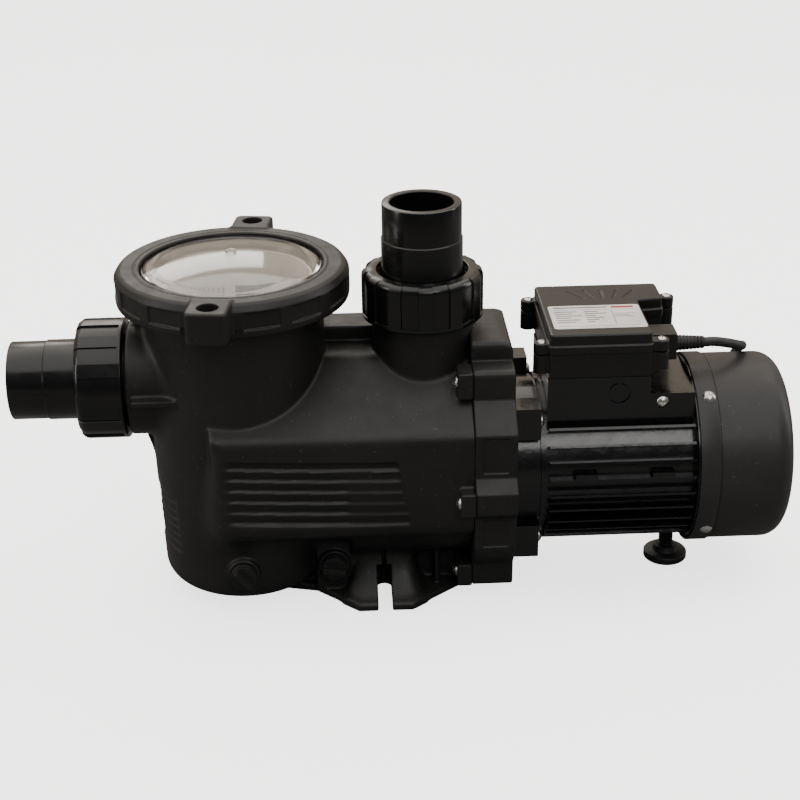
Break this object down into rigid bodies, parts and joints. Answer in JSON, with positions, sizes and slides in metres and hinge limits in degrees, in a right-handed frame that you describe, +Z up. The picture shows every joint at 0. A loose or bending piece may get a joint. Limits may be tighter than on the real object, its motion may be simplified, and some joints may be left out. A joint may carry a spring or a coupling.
{
  "type": "pool pump",
  "caption": "Self-priming pool pump with clear-lidded strainer pot, threaded pipe unions, finned electric motor with terminal box, base plate and levelling foot.",
  "frame": {"origin": "on the floor, in the plane of the base plate's underside, straight below the discharge axis and the motor axis", "axes": "+X from the suction side along the motor shaft to the fan cover, +Y to the back, +Z up along the discharge pipe"},
  "size_m": [0.625, 0.3436, 0.326],
  "materials": {
    "housing_plastic": "moulded, satin, fine texture",
    "ring_plastic": "moulded, matte",
    "union_plastic": "moulded, glossy",
    "box_plastic": "moulded, semi-gloss",
    "fan_cover_plastic": "satin",
    "motor_paint": "gloss black paint on cast aluminium",
    "stainless": "stainless, turned",
    "black_rubber": "smooth",
    "cable_sheath": "extruded sheath, satin",
    "tie_plastic": "moulded",
    "pin_brass": "nickel plated",
    "label_film": "silver film",
    "white_plastic": "moulded",
    "foot_plastic": "moulded",
    "impeller_plastic": "glass-filled, moulded",
    "seal_ceramic": null,
    "seal_carbon": "carbon face in a steel cup",
    "lamination_steel": "stacked sheets",
    "copper_winding": null,
    "bearing_steel": "ground",
    "shaft_steel": "ground",
    "clear_lid": "clear polycarbonate",
    "basket_plastic": "moulded, off-white"
  },
  "bodies": {
    "root": {"strainer_pot": "housing_plastic", "volute_housing": "housing_plastic", "floor_plate": "housing_plastic", "rear_cover": "housing_plastic", "rear_cover_oring": "black_rubber", "rear_cover_screws": "stainless", "diffuser": "impeller_plastic", "seal_seat": "seal_ceramic", "motor_front_flange": "motor_paint", "flange_screws": "stainless", "motor_body": "motor_paint", "earth_screw": "stainless", "stator_core": "lamination_steel", "stator_windings": "copper_winding", "rear_end_shield": "motor_paint", "front_bearing_outer": "bearing_steel", "rear_bearing_outer": "bearing_steel", "fan_cover": "fan_cover_plastic", "fan_cover_screws": "stainless", "terminal_box_base": "box_plastic", "terminal_box_gasket": "black_rubber", "terminal_box_lid": "box_plastic", "terminal_box_screws": "stainless", "rating_label": "label_film", "terminal_block": "white_plastic", "run_capacitor": "white_plastic", "cable_gland": "box_plastic", "power_cable": "cable_sheath", "cable_coil": "cable_sheath", "coil_tie": "tie_plastic", "plug_body": "cable_sheath", "plug_pins": "pin_brass", "suction_oring": "black_rubber", "discharge_oring": "black_rubber"},
    "rotor": {"shaft": "shaft_steel", "rotor_core": "lamination_steel", "impeller": "impeller_plastic", "seal_rotating_head": "seal_carbon", "water_slinger": "black_rubber", "cooling_fan": "impeller_plastic", "front_bearing_inner": "bearing_steel", "rear_bearing_inner": "bearing_steel"},
    "lid": {"clear_lid": "clear_lid", "lid_oring": "black_rubber"},
    "lock_ring": {"lock_ring": "ring_plastic"},
    "basket": {"strainer_basket": "basket_plastic"},
    "suction_tail": {"suction_tail": "union_plastic"},
    "suction_nut": {"suction_nut": "union_plastic"},
    "discharge_tail": {"discharge_tail": "union_plastic"},
    "discharge_nut": {"discharge_nut": "union_plastic"},
    "pot_drain_seal": {"pot_drain_oring": "black_rubber"},
    "pot_drain_plug": {"pot_drain_plug": "housing_plastic"},
    "volute_drain_seal": {"volute_drain_oring": "black_rubber"},
    "volute_drain_plug": {"volute_drain_plug": "housing_plastic"},
    "foot_pad": {"foot_pad": "foot_plastic"},
    "foot_stem": {"foot_stem": "foot_plastic"}
  },
  "joints": [
    {"name": "rotor_spin", "type": "hinge", "parent": "root", "child": "rotor", "pos_m": [0.15, 0, 0.106], "axis": [1, 0, 0], "continuous": true},
    {"name": "lid_lift", "type": "slide", "parent": "root", "child": "lid", "axis": [0, 0, 1], "range_m": [0, 0.33]},
    {"name": "lock_ring_turn", "type": "hinge", "parent": "lid", "child": "lock_ring", "pos_m": [-0.15, 0, 0.265], "axis": [0, 0, 1], "range_deg": [0, 45]},
    {"name": "basket_lift", "type": "slide", "parent": "root", "child": "basket", "axis": [0, 0, 1], "range_m": [0, 0.216]},
    {"name": "suction_tail_slide", "type": "slide", "parent": "root", "child": "suction_tail", "axis": [-1, 0, 0], "range_m": [0, 0.0282]},
    {"name": "suction_nut_turn", "type": "hinge", "parent": "suction_tail", "child": "suction_nut", "pos_m": [-0.256, 0, 0.184], "axis": [-1, 0, 0], "range_deg": [0, 2520]},
    {"name": "discharge_tail_slide", "type": "slide", "parent": "root", "child": "discharge_tail", "axis": [0, 0, 1], "range_m": [0, 0.0282]},
    {"name": "discharge_nut_turn", "type": "hinge", "parent": "discharge_tail", "child": "discharge_nut", "pos_m": [0, 0, 0.25], "axis": [0, 0, 1], "range_deg": [0, 2520]},
    {"name": "pot_drain_slide", "type": "slide", "parent": "root", "child": "pot_drain_seal", "axis": [0, -1, 0], "range_m": [0, 0.0102]},
    {"name": "pot_drain_turn", "type": "hinge", "parent": "pot_drain_seal", "child": "pot_drain_plug", "pos_m": [-0.15, -0.078, 0.039], "axis": [0, -1, 0], "range_deg": [0, 1440]},
    {"name": "volute_drain_slide", "type": "slide", "parent": "root", "child": "volute_drain_seal", "axis": [0, -1, 0], "range_m": [0, 0.0102]},
    {"name": "volute_drain_turn", "type": "hinge", "parent": "volute_drain_seal", "child": "volute_drain_plug", "pos_m": [-0.077, -0.054, 0.031], "axis": [0, -1, 0], "range_deg": [0, 1440]},
    {"name": "foot_slide", "type": "slide", "parent": "root", "child": "foot_stem", "axis": [0, 0, 1], "range_m": [-0.0031, 0.0031]},
    {"name": "foot_turn", "type": "hinge", "parent": "foot_stem", "child": "foot_pad", "pos_m": [0.208, 0, 0.006], "axis": [0, 0, 1], "range_deg": [-720, 720]}
  ],
  "couplings": [
    {"joint": "basket_lift", "follows": "lid_lift", "ratio": 0.65},
    {"joint": "suction_tail_slide", "follows": "suction_nut_turn", "m_per_rad": 0.00063662},
    {"joint": "discharge_tail_slide", "follows": "discharge_nut_turn", "m_per_rad": 0.00063662},
    {"joint": "pot_drain_slide", "follows": "pot_drain_turn", "m_per_rad": 0.00039789},
    {"joint": "volute_drain_slide", "follows": "volute_drain_turn", "m_per_rad": 0.00039789},
    {"joint": "foot_slide", "follows": "foot_turn", "m_per_rad": 0.00023873}
  ]
}
